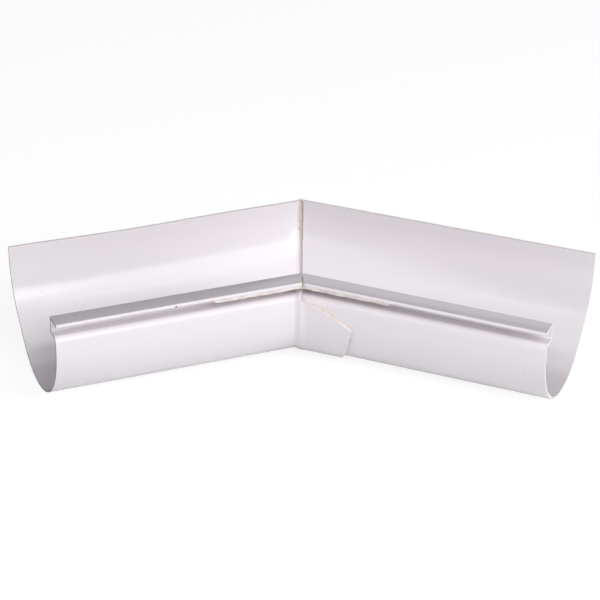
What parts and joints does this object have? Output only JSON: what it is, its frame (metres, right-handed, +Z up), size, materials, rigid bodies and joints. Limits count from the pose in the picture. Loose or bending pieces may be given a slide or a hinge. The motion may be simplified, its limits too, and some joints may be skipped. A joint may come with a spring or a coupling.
{
  "type": "gutter internal angle",
  "caption": "Internal corner for a deep plastic gutter: two short lengths mitred at 135 degrees, lapped and cemented, with a bead joiner under the lips.",
  "frame": {"origin": "under the middle of the fitting, at the height of the lap tab's underside, the lowest surface", "axes": "+X along the fitting's length towards the arm that is lapped over, +Y towards the high back on the outside of the corner, +Z up"},
  "size_m": [0.4376, 0.2086, 0.0831],
  "materials": {
    "sheet": "smooth extruded white with a high gloss",
    "joiner": "off-white, sawn edges",
    "cement": "dried solvent cement, cream with brownish edges"
  },
  "bodies": {
    "root": {"left_arm": "sheet", "right_arm": "sheet", "bead_joiner": "joiner", "lap_cement": "cement", "seam_cement": "cement"}
  },
  "joints": []
}
